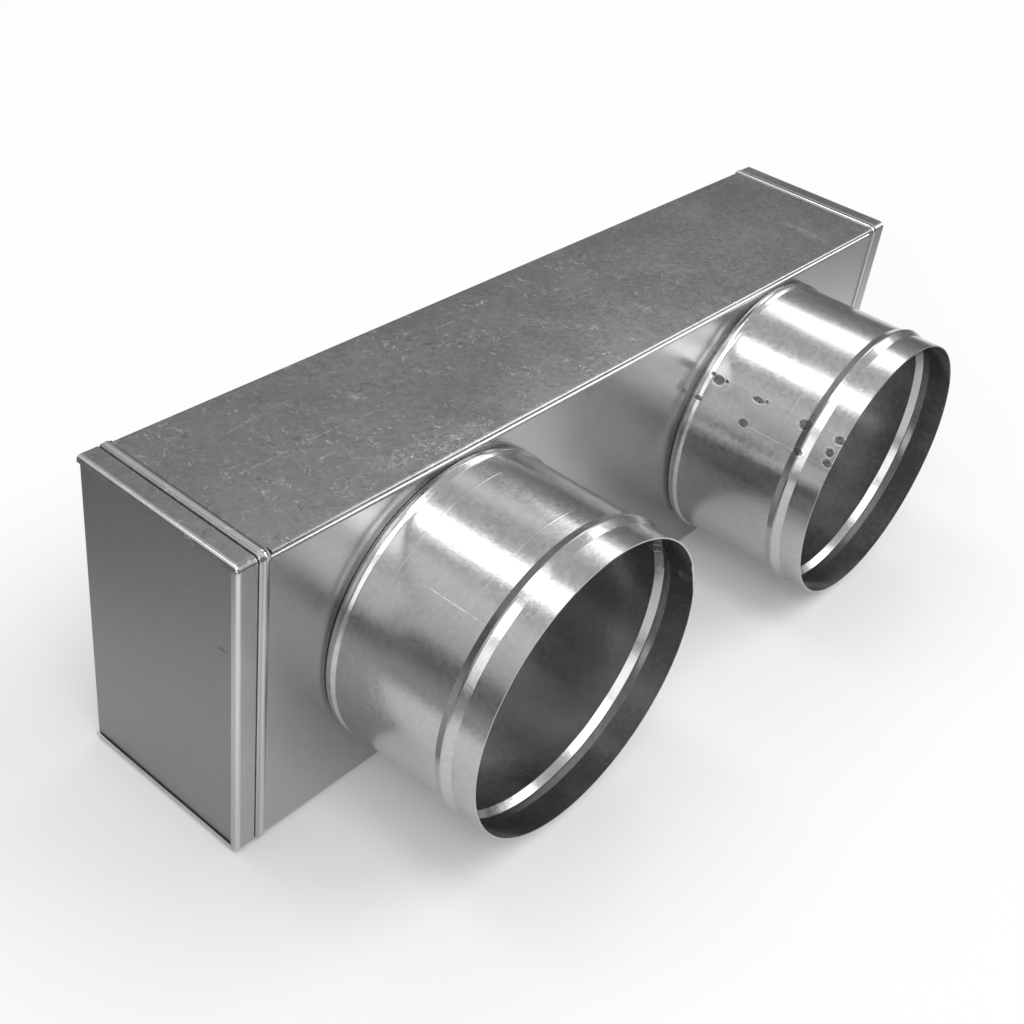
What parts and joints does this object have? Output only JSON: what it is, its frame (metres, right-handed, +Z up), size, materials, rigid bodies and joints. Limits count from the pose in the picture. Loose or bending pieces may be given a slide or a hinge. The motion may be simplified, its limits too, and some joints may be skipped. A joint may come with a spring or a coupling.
{
  "type": "duct plenum",
  "caption": "Shallow rectangular sheet-steel plenum box with locked end seams, an open rear and a pair of beaded round spigots on its long front face.",
  "frame": {"origin": "Middle of the bounding box's footprint, at the level of the lower end ridges that the part stands on.", "axes": "+X along the box towards the right end as seen from the spigots, -Y out of the front face along the spigots, +Z up."},
  "size_m": [0.5044, 0.185, 0.1614],
  "materials": {
    "front_sheet": "galvanised, dull, with soft reflections",
    "top_sheet": "galvanised, fine spangle with scratches",
    "end_sheet": "galvanised, dull and softly mottled",
    "spigot_sheet": "galvanised, rolled, with spot-weld burn marks at the lap"
  },
  "bodies": {
    "root": {"front_and_bottom_panel": "front_sheet", "top_panel": "top_sheet", "left_end_panel": "end_sheet", "right_end_panel": "end_sheet", "left_spigot": "spigot_sheet", "right_spigot": "spigot_sheet"}
  },
  "joints": []
}
